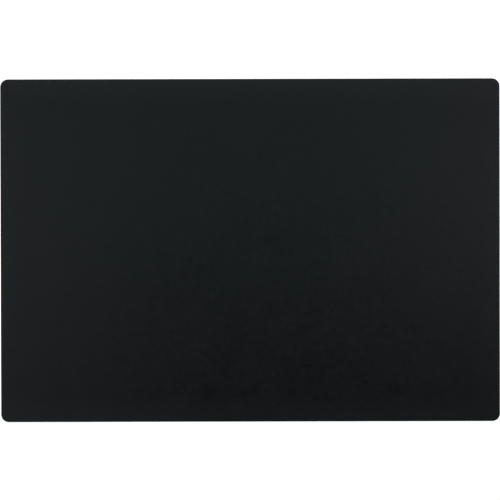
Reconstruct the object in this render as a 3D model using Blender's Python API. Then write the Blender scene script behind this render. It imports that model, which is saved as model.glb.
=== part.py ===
"""Self healing cutting mat for leatherwork: a plain black sheet, hot-pressed from five plies.

Soft PVC closes up again behind a blade, and two hard polypropylene sheets keep the mat flat and stop the
blade before it reaches the far side. From the bench up the plies are: PVC skin, polypropylene, PVC cushion,
polypropylene, PVC skin. Each ply is a closed solid of its own, with the thin bond line between two plies left
open.

Metres, +Z up. The origin is the centre of the underside, +X runs along the mat's length.
"""

import math
from typing import NamedTuple

import bmesh
import bpy

# Driving dimensions
MAT_LENGTH = 0.450
MAT_WIDTH = 0.309
CORNER_RADIUS = 0.007

SKIN_THICKNESS = 0.0008
CORE_SHEET_THICKNESS = 0.0003
CUSHION_THICKNESS = 0.0006
BOND_LINE = 0.00005

# The die that cuts the mat rolls the upper rim over and leaves the lower rim almost square
UPPER_RIM_RADIUS = 0.0004
LOWER_RIM_RADIUS = 0.00015
RIM_SEGMENTS = 4
CORNER_SEGMENTS = 14

SAME_HEIGHT = 1e-7
SMOOTH_BELOW = math.radians(35)


class Finish(NamedTuple):
    """What a Principled material needs to know about one of the plastics."""

    name: str
    color: tuple[float, float, float, float]
    roughness: float


class Ply(NamedTuple):
    """One layer of the laminate, with the radius of its lower and its upper rim."""

    name: str
    thickness: float
    finish: Finish
    lower_rim: float = 0.0
    upper_rim: float = 0.0


SOFT_PVC = Finish("soft_pvc", (0.009, 0.0095, 0.010, 1.0), 0.51)
CUSHION_PVC = Finish("cushion_pvc", (0.016, 0.017, 0.017, 1.0), 0.64)
HARD_POLYPROPYLENE = Finish("hard_polypropylene", (0.30, 0.31, 0.31, 1.0), 0.42)

# From the bench up
PLIES = (
    Ply("bottom_skin", SKIN_THICKNESS, SOFT_PVC, lower_rim=LOWER_RIM_RADIUS),
    Ply("lower_core_sheet", CORE_SHEET_THICKNESS, HARD_POLYPROPYLENE),
    Ply("centre_cushion", CUSHION_THICKNESS, CUSHION_PVC),
    Ply("upper_core_sheet", CORE_SHEET_THICKNESS, HARD_POLYPROPYLENE),
    Ply("top_skin", SKIN_THICKNESS, SOFT_PVC, upper_rim=UPPER_RIM_RADIUS),
)


def clear_scene():
    for old in list(bpy.data.objects):
        bpy.data.objects.remove(old, do_unlink=True)


def plastic(finish, ply_name):
    """A material of the ply's own."""
    material = bpy.data.materials.new(f"{ply_name}_{finish.name}")
    material.use_nodes = True
    shader = material.node_tree.nodes["Principled BSDF"]
    shader.inputs["Base Color"].default_value = finish.color
    shader.inputs["Roughness"].default_value = finish.roughness
    shader.inputs["Metallic"].default_value = 0.0
    material.diffuse_color = finish.color
    material.roughness = finish.roughness
    return material


def mat_outline():
    """The mat's outline, anticlockwise from above: four quarter circles, joined by the straight sides."""
    centre_x = MAT_LENGTH / 2 - CORNER_RADIUS
    centre_y = MAT_WIDTH / 2 - CORNER_RADIUS
    quarter = math.pi / 2
    points = []
    for corner, (side_x, side_y) in enumerate(((1, 1), (-1, 1), (-1, -1), (1, -1))):
        for step in range(CORNER_SEGMENTS + 1):
            angle = quarter * (corner + step / CORNER_SEGMENTS)
            x = side_x * centre_x + CORNER_RADIUS * math.cos(angle)
            y = side_y * centre_y + CORNER_RADIUS * math.sin(angle)
            points.append((x, y))
    return points


def round_rim(mesh, height, radius):
    """Rounds the edges that run round a slab at one height."""
    rim = [
        edge
        for edge in mesh.edges
        if all(abs(vertex.co.z - height) < SAME_HEIGHT for vertex in edge.verts)
    ]
    bmesh.ops.bevel(
        mesh,
        geom=rim,
        offset=radius,
        offset_type="OFFSET",
        segments=RIM_SEGMENTS,
        profile=0.5,
        affect="EDGES",
        clamp_overlap=True,
    )


def make_ply(ply, underside):
    """A slab of the mat's outline, drawn from its own underside up and placed at its height in the stack."""
    slab = bmesh.new()
    bottom = slab.faces.new([slab.verts.new((x, y, 0.0)) for x, y in mat_outline()])
    raised = bmesh.ops.extrude_face_region(slab, geom=[bottom], use_keep_orig=True)["geom"]
    top = [item for item in raised if isinstance(item, bmesh.types.BMVert)]
    bmesh.ops.translate(slab, verts=top, vec=(0.0, 0.0, ply.thickness))
    bmesh.ops.recalc_face_normals(slab, faces=slab.faces)
    if ply.lower_rim:
        round_rim(slab, 0.0, ply.lower_rim)
    if ply.upper_rim:
        round_rim(slab, ply.thickness, ply.upper_rim)

    mesh = bpy.data.meshes.new(ply.name)
    slab.to_mesh(mesh)
    slab.free()
    mesh.shade_smooth()
    mesh.set_sharp_from_angle(angle=SMOOTH_BELOW)
    mesh.materials.append(plastic(ply.finish, ply.name))

    solid = bpy.data.objects.new(ply.name, mesh)
    solid.location.z = underside
    bpy.context.scene.collection.objects.link(solid)
    return solid


def make_mat():
    """Stacks the plies, parented to an empty at the centre of the underside."""
    mat = bpy.data.objects.new("self_healing_mat", None)
    bpy.context.scene.collection.objects.link(mat)
    underside = 0.0
    for ply in PLIES:
        make_ply(ply, underside).parent = mat
        underside += ply.thickness + BOND_LINE


clear_scene()
make_mat()
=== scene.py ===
"""Looks of the self healing mat, modelled around its packed plies.

Every ply of the laminate is made again as a fine mesh: soft skins whose rims the die has rolled over, hard
core sheets that stand back a little, and a cushion that bulges between them. Their plastics are procedural.
The mat lies on a plain pale table in soft studio light, seen from straight above.

Metres, in the frame of the CAD model: the origin is the centre of the underside and +X runs along the mat.
"""

import math
from typing import NamedTuple

import bpy
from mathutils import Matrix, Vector, noise


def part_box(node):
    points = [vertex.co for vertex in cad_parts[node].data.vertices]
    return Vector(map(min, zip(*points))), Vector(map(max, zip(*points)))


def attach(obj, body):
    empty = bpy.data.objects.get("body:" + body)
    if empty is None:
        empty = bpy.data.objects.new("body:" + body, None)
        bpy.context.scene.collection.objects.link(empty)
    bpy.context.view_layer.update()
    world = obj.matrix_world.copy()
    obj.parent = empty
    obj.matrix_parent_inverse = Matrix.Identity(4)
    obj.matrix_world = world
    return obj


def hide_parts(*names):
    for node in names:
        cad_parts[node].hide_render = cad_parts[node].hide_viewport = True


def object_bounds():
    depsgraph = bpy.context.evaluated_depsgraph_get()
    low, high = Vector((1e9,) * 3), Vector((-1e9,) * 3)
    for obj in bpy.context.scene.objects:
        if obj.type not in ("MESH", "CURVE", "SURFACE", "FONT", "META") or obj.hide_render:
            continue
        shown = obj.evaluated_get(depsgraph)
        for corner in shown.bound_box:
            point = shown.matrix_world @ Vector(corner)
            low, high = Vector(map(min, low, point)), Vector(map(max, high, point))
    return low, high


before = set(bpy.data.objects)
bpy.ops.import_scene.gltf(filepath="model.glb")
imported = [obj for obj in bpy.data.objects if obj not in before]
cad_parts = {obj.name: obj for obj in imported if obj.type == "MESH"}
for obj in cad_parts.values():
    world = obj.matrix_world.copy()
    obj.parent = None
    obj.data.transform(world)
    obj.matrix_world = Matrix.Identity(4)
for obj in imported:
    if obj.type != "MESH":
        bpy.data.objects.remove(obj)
cad_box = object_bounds()

MM = 0.001
QUARTER_TURN = math.pi / 2

# The mesh of a ply
FINE_PITCH = 2.5 * MM
COARSE_PITCH = 6.0 * MM
CORNER_SEGMENTS = 20
SHOULDER_STEPS = 5
RIM_STEPS = 7
WALL_STEPS = 4
SHARP_FROM = math.radians(40)
SAME_PLACE = 0.001 * MM

# The die presses the upper skin down towards its rim, rolls the rim over, and wanders a little going round
SHOULDER_WIDTH = 2.2 * MM
SHOULDER_DROP = 0.07 * MM
UPPER_RIM_RADIUS = 0.40 * MM
LOWER_RIM_RADIUS = 0.15 * MM
WANDER_LENGTH = 35 * MM
WANDER_WIDTH = 0.05 * MM
WANDER_REACH = 1.2 * MM

# Let go, the soft cushion bulges out of the cut edge and the hard sheets draw back into it
SOFT_BULGE = 0.05 * MM
HARD_SETBACK = 0.06 * MM

# The calendered cutting face isn't quite flat
RIPPLE_LENGTH = 70 * MM
RIPPLE_HEIGHT = 0.03 * MM
FINE_RIPPLE_LENGTH = 17 * MM
FINE_RIPPLE_HEIGHT = 0.008 * MM

# The face is painted a little greyer near its edges, most of all along its long sides, as painted glare from
# the pale surround, and hands scuff the rim
EDGE_GLARE_REACH = 24 * MM
EDGE_GLARE_AT_ENDS = 0.4
SCUFF_REACH = 3.5 * MM

# How wide the lumps are in the tone and the relief of the calendered face, and how deep its relief is
MOTTLE_GRAIN = 5 * MM
CLOUD_GRAIN = 60 * MM
STREAK_GRAIN = 1.8 * MM
SCUFF_GRAIN = 1.1 * MM
WAVE_GRAIN = 36 * MM
WAVE_DEPTH = 0.70 * MM
PEEL_GRAIN = 1.6 * MM
PEEL_DEPTH = 0.042 * MM
PEBBLE_GRAIN = 0.42 * MM
PEBBLE_DEPTH = 0.055 * MM

# The die scores the cut edges up and down
PVC_SCORE_GRAIN = 0.45 * MM
PVC_SCORE_DEPTH = 0.05 * MM
HARD_SCORE_GRAIN = 0.6 * MM
HARD_SCORE_DEPTH = 0.03 * MM
HARD_CLOUD_GRAIN = 14 * MM

# Colours, as linear red, green and blue: a pattern runs from its dark colour to its pale one
FACE_DARK = (0.0056, 0.0059, 0.0062)
FACE_PALE = (0.0126, 0.0129, 0.0134)
# Painted glare: the lighter grey that the face is painted near its edges
FACE_EDGE_GLARE = (0.0195, 0.0200, 0.0208)
FACE_SCUFFED = (0.030, 0.031, 0.033)
FACE_GLOSS_TINT = (0.94, 0.95, 1.0)
CUT_PVC_DARK = (0.010, 0.011, 0.011)
CUT_PVC_PALE = (0.022, 0.023, 0.023)
POLYPROPYLENE_DARK = (0.25, 0.26, 0.26)
POLYPROPYLENE_PALE = (0.34, 0.35, 0.35)
ACRYLIC_DARK = (0.86, 0.865, 0.87)
ACRYLIC_PALE = (0.89, 0.893, 0.895)
WHITE = (1.0, 1.0, 1.0)

# The table glows softly, and the room is dark overhead and pale at the horizon
TABLE_REACH = 60.0
TABLE_DROP = 0.02 * MM
TABLE_CLOUD_GRAIN = 0.35
TABLE_GLOW = 0.95
ZENITH_LIGHT = 0.03
HORIZON_LIGHT = 0.985
HORIZON_BAND = 0.13

# A long lens, straight above but for a trace of tilt and roll
LENS_MM = 200.0
SENSOR_MM = 36.0
PICTURE_WIDTH = 0.4507
VIEW_TILT = math.radians(0.5)
VIEW_ROLL = math.radians(0.14)
AIM = Vector((-0.2 * MM, 0.3 * MM, cad_box[1].z))


class Ply(NamedTuple):
    """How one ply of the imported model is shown. Its cut edge stands out of the mat's outline by stand_out."""

    piece: str
    node: str
    slot: str
    grid_pitch: float
    upper_rim: float = 0.0
    lower_rim: float = 0.0
    stand_out: float = 0.0


PLIES = (
    Ply("cutting_face_skin", "top_skin", "soft_pvc", FINE_PITCH, upper_rim=UPPER_RIM_RADIUS),
    Ply("upper_hard_sheet", "upper_core_sheet", "hard_polypropylene", COARSE_PITCH, stand_out=-HARD_SETBACK),
    Ply("soft_centre", "centre_cushion", "cushion_pvc", COARSE_PITCH, stand_out=SOFT_BULGE),
    Ply("lower_hard_sheet", "lower_core_sheet", "hard_polypropylene", COARSE_PITCH, stand_out=-HARD_SETBACK),
    Ply("bench_face_skin", "bottom_skin", "soft_pvc", COARSE_PITCH, lower_rim=LOWER_RIM_RADIUS),
)


class Softbox(NamedTuple):
    """A soft lamp that is turned to the middle of the mat."""

    name: str
    place: tuple[float, float, float]
    width: float
    height: float
    watts: float
    color: tuple[float, float, float]


SOFTBOXES = (
    Softbox("softbox_far", (0.0, 0.16, 0.45), 0.41, 0.32, 0.269, (0.725, 1.0, 0.96)),
    Softbox("softbox_left", (-0.30, 0.015, 0.45), 0.54, 0.15, 0.475, (0.885, 0.96, 1.0)),
    Softbox("softbox_right", (0.305, 0.07, 0.45), 0.36, 0.15, 0.393, (0.885, 0.935, 1.0)),
)


# ---------------------------------------------------------------- plastics


class Plastic:
    """A material with one Principled shader, and short calls for the nodes that its patterns need."""

    def __init__(self, name):
        self.material = bpy.data.materials.new(name)
        self.material.use_nodes = True
        self.tree = self.material.node_tree
        self.shader = self.tree.nodes["Principled BSDF"]
        self.place = self.tree.nodes.new("ShaderNodeTexCoord").outputs["Object"]

    def feed(self, socket, value):
        """Gives a socket another node's output, a colour or a number."""
        if isinstance(value, bpy.types.NodeSocket):
            self.tree.links.new(value, socket)
        elif isinstance(value, tuple):
            socket.default_value = (*value, 1.0)
        else:
            socket.default_value = value

    def set(self, **values):
        """Sets sockets of the shader, which are named with _ for a space."""
        for name, value in values.items():
            self.feed(self.shader.inputs[name.replace("_", " ")], value)
        return self

    def lumps(self, grain, detail=2.0, fine_share=0.5, stretch=(1.0, 1.0, 1.0)):
        """Noise from 0 to 1 with lumps about one grain across, times stretch along each axis. Detail is how
        often finer lumps are laid over them, half as wide and fine_share as strong each time."""
        scaled = self.tree.nodes.new("ShaderNodeMapping")
        scaled.inputs["Scale"].default_value = [1.0 / (grain * times) for times in stretch]
        self.tree.links.new(self.place, scaled.inputs["Vector"])
        texture = self.tree.nodes.new("ShaderNodeTexNoise")
        texture.inputs["Scale"].default_value = 1.0
        texture.inputs["Detail"].default_value = detail
        texture.inputs["Roughness"].default_value = fine_share
        self.tree.links.new(scaled.outputs["Vector"], texture.inputs["Vector"])
        return texture.outputs["Fac"]

    def pebbles(self, grain):
        """Rounded cells about one grain across."""
        cells = self.tree.nodes.new("ShaderNodeTexVoronoi")
        cells.feature = "SMOOTH_F1"
        cells.inputs["Scale"].default_value = 1.0 / grain
        self.tree.links.new(self.place, cells.inputs["Vector"])
        return cells.outputs["Distance"]

    def painted(self, name):
        """The value that the mesh holds at each of its points under that name."""
        values = self.tree.nodes.new("ShaderNodeAttribute")
        values.attribute_name = name
        return values.outputs["Fac"]

    def ranged(self, value, low, high, start=0.3, end=0.7):
        """Value from start to end, turned into low to high. Lumps seldom leave the range from 0.3 to 0.7."""
        node = self.tree.nodes.new("ShaderNodeMapRange")
        node.inputs["From Min"].default_value = start
        node.inputs["From Max"].default_value = end
        node.inputs["To Min"].default_value = low
        node.inputs["To Max"].default_value = high
        self.tree.links.new(value, node.inputs["Value"])
        return node.outputs["Result"]

    def weighed(self, *shares):
        """The sum of values, each times its weight."""
        total = 0.0
        for value, weight in shares:
            node = self.tree.nodes.new("ShaderNodeMath")
            node.operation = "MULTIPLY_ADD"
            for socket, number in zip(node.inputs, (value, weight, total)):
                self.feed(socket, number)
            total = node.outputs["Value"]
        return total

    def tint(self, share, low, high):
        """A colour from low to high."""
        mix = self.tree.nodes.new("ShaderNodeMix")
        mix.data_type = "RGBA"
        low_end, high_end = (s for s in mix.inputs if s.identifier in ("A_Color", "B_Color"))
        self.feed(mix.inputs["Factor"], share)
        self.feed(low_end, low)
        self.feed(high_end, high)
        return next(s for s in mix.outputs if s.identifier == "Result_Color")

    def relief(self, height, depth, under=None):
        """Bumps of that depth in metres, laid over the bumps under them."""
        bump = self.tree.nodes.new("ShaderNodeBump")
        bump.inputs["Distance"].default_value = depth
        self.tree.links.new(height, bump.inputs["Height"])
        if under is not None:
            self.tree.links.new(under, bump.inputs["Normal"])
        return bump.outputs["Normal"]


def skin_pvc(name):
    """Black PVC from the calender: matt pebbles over a faint orange peel, and painted greyer near its edges as
    painted glare.
    """
    pvc = Plastic(name)
    mottle = pvc.lumps(MOTTLE_GRAIN, detail=2.0, fine_share=0.7)
    cloud = pvc.lumps(CLOUD_GRAIN)
    streak = pvc.lumps(STREAK_GRAIN, detail=1.0, stretch=(60.0, 1.0, 1.0))
    # Mixed lumps even each other out, so they stay in a narrower range than one kind does
    mixed = pvc.weighed((mottle, 0.65), (cloud, 0.25), (streak, 0.10))
    tone = pvc.ranged(mixed, 0.0, 1.0, start=0.38, end=0.62)

    fresh = pvc.tint(tone, FACE_DARK, FACE_PALE)
    # Painted glare: the face is painted lighter towards its edges
    with_edge_glare = pvc.tint(pvc.painted("edge_glare"), fresh, FACE_EDGE_GLARE)
    patches = pvc.ranged(pvc.lumps(SCUFF_GRAIN, detail=3.0), 0.0, 1.0)
    scuffs = pvc.weighed((pvc.painted("at_rim"), patches))

    waves = pvc.relief(pvc.lumps(WAVE_GRAIN, detail=4.0, fine_share=0.55), WAVE_DEPTH)
    peel = pvc.relief(pvc.lumps(PEEL_GRAIN, detail=1.0), PEEL_DEPTH, under=waves)
    return pvc.set(
        Base_Color=pvc.tint(scuffs, with_edge_glare, FACE_SCUFFED),
        Roughness=pvc.ranged(tone, 0.45, 0.52, start=0.0, end=1.0),
        Normal=pvc.relief(pvc.pebbles(PEBBLE_GRAIN), PEBBLE_DEPTH, under=peel),
        Specular_IOR_Level=0.30,
        Specular_Tint=FACE_GLOSS_TINT,
    ).material


def cut_pvc(name):
    """The cut edge of black PVC: a little greyer than its face, and scored by the die."""
    pvc = Plastic(name)
    score = pvc.lumps(PVC_SCORE_GRAIN, detail=3.0, stretch=(1.0, 1.0, 9.0))
    return pvc.set(
        Base_Color=pvc.tint(pvc.ranged(score, 0.0, 1.0), CUT_PVC_DARK, CUT_PVC_PALE),
        Roughness=pvc.ranged(score, 0.55, 0.72),
        Normal=pvc.relief(score, PVC_SCORE_DEPTH),
        Specular_IOR_Level=0.35,
    ).material


def cut_polypropylene(name):
    """Uncoloured polypropylene, which looks grey between two black plies, with the die's scores."""
    hard = Plastic(name)
    score = hard.lumps(HARD_SCORE_GRAIN, detail=3.0, stretch=(1.0, 1.0, 12.0))
    cloud = hard.ranged(hard.lumps(HARD_CLOUD_GRAIN), 0.0, 1.0)
    return hard.set(
        Base_Color=hard.tint(cloud, POLYPROPYLENE_DARK, POLYPROPYLENE_PALE),
        Roughness=hard.ranged(score, 0.36, 0.52),
        Normal=hard.relief(score, HARD_SCORE_DEPTH),
        Specular_IOR_Level=0.45,
    ).material


def glowing_acrylic(name):
    """The table: white acrylic, softly lit from below."""
    acrylic = Plastic(name)
    cloud = acrylic.lumps(TABLE_CLOUD_GRAIN)
    return acrylic.set(
        Base_Color=acrylic.tint(acrylic.ranged(cloud, 0.0, 1.0), ACRYLIC_DARK, ACRYLIC_PALE),
        Roughness=acrylic.ranged(cloud, 0.62, 0.68),
        Emission_Color=WHITE,
        Emission_Strength=TABLE_GLOW,
    ).material


# ---------------------------------------------------------------- plies


def corner_radius():
    """The radius of the mat's corners, read from a core sheet, whose rims are square."""
    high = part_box("upper_core_sheet")[1]
    points = [vertex.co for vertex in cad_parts["upper_core_sheet"].data.vertices]
    return high.x - max(point.x for point in points if abs(point.y - high.y) < SAME_PLACE)


# The outline runs at one corner radius round this inner rectangle
RADIUS = corner_radius()
INNER_X = cad_box[1].x - RADIUS
INNER_Y = cad_box[1].y - RADIUS


def clipped(value):
    """Value, held between 0 and 1."""
    return min(max(value, 0.0), 1.0)


def depth_inside(x, y):
    """How far a point is inside the mat's outline."""
    beyond_x, beyond_y = abs(x) - INNER_X, abs(y) - INNER_Y
    past_corner = math.hypot(max(beyond_x, 0.0), max(beyond_y, 0.0))
    return RADIUS - past_corner - min(max(beyond_x, beyond_y), 0.0)


def edge_glare_share(x, y):
    """How much painted glare lightens a spot on the face, from 0 to 1."""
    along_side = 1.0 - clipped((INNER_Y + RADIUS - abs(y)) / EDGE_GLARE_REACH)
    at_end = 1.0 - clipped((INNER_X + RADIUS - abs(x)) / EDGE_GLARE_REACH)
    return along_side + EDGE_GLARE_AT_ENDS * at_end * (1.0 - along_side)


def ripple(x, y):
    """How far the calendered face is from flat, fading out towards the rim."""
    place = Vector((x, y, 0.0))
    coarse = RIPPLE_HEIGHT * noise.noise(place / RIPPLE_LENGTH)
    fine = FINE_RIPPLE_HEIGHT * noise.noise(place / FINE_RIPPLE_LENGTH)
    return (coarse + fine) * clipped(depth_inside(x, y) / RADIUS)


def way_round(columns, rows):
    """The way round a grid's edge, anticlockwise: (column, row, direction out of it) at each step. A corner
    is passed in many small turns, which fan out into its rounded corner."""
    corners = ((columns, rows), (0, rows), (0, 0), (columns, 0))
    steps = []
    for turn, (column, row) in enumerate(corners):
        for fan in range(CORNER_SEGMENTS + 1):
            steps.append((column, row, QUARTER_TURN * (turn + fan / CORNER_SEGMENTS)))
        next_column, next_row = corners[(turn + 1) % 4]
        length = max(abs(next_column - column), abs(next_row - row))
        for along in range(1, length):
            side_column = column + (next_column - column) * along // length
            side_row = row + (next_row - row) * along // length
            steps.append((side_column, side_row, QUARTER_TURN * (turn + 1)))
    return steps


def rim_section(reach, level, inward, radius, drop):
    """One face's rim in section, as (reach, height) from the flat face out to the wall: a shoulder that sinks
    by drop, then a quarter round. Inward is -1 for an upper face, whose rim goes down, and 1 for a lower."""
    if not radius:
        return [(reach, level)]
    section = []
    for step in range(SHOULDER_STEPS + 1):
        along = step / SHOULDER_STEPS
        sunk = drop * along * along * (3.0 - 2.0 * along)
        section.append((reach - radius - SHOULDER_WIDTH * (1.0 - along), level + inward * sunk))
    for step in range(1, RIM_STEPS + 1):
        turn = QUARTER_TURN * step / RIM_STEPS
        fall = drop + radius * (1.0 - math.cos(turn))
        section.append((reach - radius * (1.0 - math.sin(turn)), level + inward * fall))
    return section


def wall_section(reach, start, end, bulge):
    """The cut edge in section, between the heights where the rims end. It bulges most halfway."""
    section = []
    for step in range(1, WALL_STEPS):
        along = step / WALL_STEPS
        section.append((reach + bulge * math.sin(math.pi * along), start + (end - start) * along))
    return section


class Shell:
    """The closed skin of one ply: a grid over the inner rectangle, above and below, and rings that follow the
    ply's section round it, from the upper grid over the rim and down the wall to the lower grid."""

    def __init__(self, ply):
        low, high = (corner.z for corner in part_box(ply.node))
        self.middle = (low + high) / 2
        self.rippled = ply.upper_rim > 0.0
        self.columns = round(2 * INNER_X / ply.grid_pitch)
        self.rows = round(2 * INNER_Y / ply.grid_pitch)
        self.points, self.faces, self.on_wall = [], [], []

        upper_grid, lower_grid = self.grid(high), self.grid(low)
        self.fill(upper_grid, lower_grid)

        cut_edge = RADIUS + ply.stand_out
        upper = rim_section(cut_edge, high, -1.0, ply.upper_rim, SHOULDER_DROP)
        lower = rim_section(cut_edge, low, 1.0, ply.lower_rim, 0.0)
        # A cut edge that stands out bulges as far again
        wall = wall_section(cut_edge, upper[-1][1], lower[-1][1], max(ply.stand_out, 0.0))
        section = upper + wall + lower[::-1]

        route = way_round(self.columns, self.rows)
        rings = [[upper_grid[column, row] for column, row, _ in route]]
        rings += [self.ring(route, reach, height) for reach, height in section]
        rings.append([lower_grid[column, row] for column, row, _ in route])
        for index, (inner, outer) in enumerate(zip(rings, rings[1:])):
            self.bridge(inner, outer, on_wall=len(upper) <= index <= len(upper) + len(wall))

    def spot(self, column, row):
        """Where a grid's crossing is."""
        return (2 * column / self.columns - 1) * INNER_X, (2 * row / self.rows - 1) * INNER_Y

    def add_point(self, x, y, z):
        """Adds a point, which the ripple of an upper face may lift, and gives its number."""
        lift = ripple(x, y) if self.rippled and z > self.middle else 0.0
        self.points.append((x, y, z + lift))
        return len(self.points) - 1

    def grid(self, height):
        """The points over the inner rectangle at one height."""
        return {
            (column, row): self.add_point(*self.spot(column, row), height)
            for column in range(self.columns + 1)
            for row in range(self.rows + 1)
        }

    def ring(self, route, reach, height):
        """One ring of points at that reach from the inner rectangle, less or more where the cut wanders."""
        wandering = WANDER_WIDTH * clipped((reach - RADIUS + WANDER_REACH) / WANDER_REACH)
        ring = []
        for column, row, heading in route:
            x, y = self.spot(column, row)
            out = reach + wandering * noise.noise(Vector((x, y, self.middle)) / WANDER_LENGTH)
            ring.append(self.add_point(x + out * math.cos(heading), y + out * math.sin(heading), height))
        return ring

    def fill(self, upper_grid, lower_grid):
        """The faces of both grids."""
        for column in range(self.columns):
            for row in range(self.rows):
                square = ((column, row), (column + 1, row), (column + 1, row + 1), (column, row + 1))
                self.faces.append([upper_grid[corner] for corner in square])
                self.faces.append([lower_grid[corner] for corner in reversed(square)])
                self.on_wall += [False, False]

    def bridge(self, inner, outer, on_wall):
        """The faces between two rings, which are triangles where a grid's corner fans out."""
        for step, point in enumerate(inner):
            after = (step + 1) % len(inner)
            around = (point, outer[step], outer[after], inner[after])
            self.faces.append([corner for index, corner in enumerate(around) if corner != around[index - 1]])
            self.on_wall.append(on_wall)

    def mesh(self, name, face_material, edge_material):
        """The shell as a mesh that also holds, at each point, how much painted glare it gets and how near the
        rim it is.
        """
        mesh = bpy.data.meshes.new(name)
        mesh.from_pydata(self.points, [], self.faces)
        mesh.materials.append(face_material)
        mesh.materials.append(edge_material)
        mesh.polygons.foreach_set("material_index", [int(on_wall) for on_wall in self.on_wall])
        # Painted glare, strongest at the edges, which the face's colour reads
        edge_glare = [edge_glare_share(x, y) for x, y, _ in self.points]
        at_rim = [1.0 - clipped(depth_inside(x, y) / SCUFF_REACH) for x, y, _ in self.points]
        mesh.attributes.new("edge_glare", "FLOAT", "POINT").data.foreach_set("value", edge_glare)
        mesh.attributes.new("at_rim", "FLOAT", "POINT").data.foreach_set("value", at_rim)
        mesh.shade_smooth()
        mesh.set_sharp_from_angle(angle=SHARP_FROM)
        return mesh


def make_ply(ply, face_material, edge_material):
    piece = bpy.data.objects.new(ply.piece, Shell(ply).mesh(ply.piece, face_material, edge_material))
    bpy.context.scene.collection.objects.link(piece)
    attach(piece, "root")
    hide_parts(ply.node)


def make_mat():
    skin = skin_pvc("pvc_calendered_face")
    cut = cut_pvc("pvc_cut_edge")
    hard = cut_polypropylene("polypropylene_cut_edge")
    materials = {"soft_pvc": (skin, cut), "cushion_pvc": (cut, cut), "hard_polypropylene": (hard, hard)}
    for ply in PLIES:
        make_ply(ply, *materials[ply.slot])


# ---------------------------------------------------------------- studio


def make_table():
    sides = ((-1, -1), (1, -1), (1, 1), (-1, 1))
    corners = [(x * TABLE_REACH, y * TABLE_REACH, -TABLE_DROP) for x, y in sides]
    mesh = bpy.data.meshes.new("table")
    mesh.from_pydata(corners, [], [range(len(corners))])
    mesh.materials.append(glowing_acrylic("table_acrylic"))
    table = bpy.data.objects.new("table", mesh)
    bpy.context.scene.collection.objects.link(table)


def make_softbox(softbox):
    lamp = bpy.data.lights.new(softbox.name, "AREA")
    lamp.shape = "RECTANGLE"
    lamp.size = softbox.width
    lamp.size_y = softbox.height
    lamp.energy = softbox.watts
    lamp.color = softbox.color
    stand = bpy.data.objects.new(softbox.name, lamp)
    stand.location = softbox.place
    stand.rotation_euler = (-stand.location).to_track_quat("-Z", "Y").to_euler()
    stand.visible_camera = False
    bpy.context.scene.collection.objects.link(stand)


def make_room():
    """A world whose light falls off from the horizon up."""
    world = bpy.data.worlds.new("studio")
    world.use_nodes = True
    tree = world.node_tree
    place = tree.nodes.new("ShaderNodeTexCoord")
    parts = tree.nodes.new("ShaderNodeSeparateXYZ")
    light = tree.nodes.new("ShaderNodeMapRange")
    light.interpolation_type = "SMOOTHSTEP"
    light.inputs["From Min"].default_value = 0.0
    light.inputs["From Max"].default_value = HORIZON_BAND
    light.inputs["To Min"].default_value = HORIZON_LIGHT
    light.inputs["To Max"].default_value = ZENITH_LIGHT
    tree.links.new(place.outputs["Generated"], parts.inputs["Vector"])
    tree.links.new(parts.outputs["Z"], light.inputs["Value"])
    tree.links.new(light.outputs["Result"], tree.nodes["Background"].inputs["Strength"])
    tree.nodes["Background"].inputs["Color"].default_value = (*WHITE, 1.0)
    bpy.context.scene.world = world


def make_camera():
    camera = bpy.data.objects.new("camera", bpy.data.cameras.new("camera"))
    camera.data.lens = LENS_MM
    camera.data.sensor_width = SENSOR_MM
    camera.rotation_euler = (-VIEW_TILT, 0.0, -VIEW_ROLL)
    away = camera.rotation_euler.to_matrix() @ Vector((0.0, 0.0, 1.0))
    camera.location = AIM + away * PICTURE_WIDTH * LENS_MM / SENSOR_MM
    bpy.context.scene.collection.objects.link(camera)
    bpy.context.scene.camera = camera


bpy.context.scene.view_settings.view_transform = "Standard"
make_camera()
make_mat()
make_table()
make_room()
for softbox in SOFTBOXES:
    make_softbox(softbox)
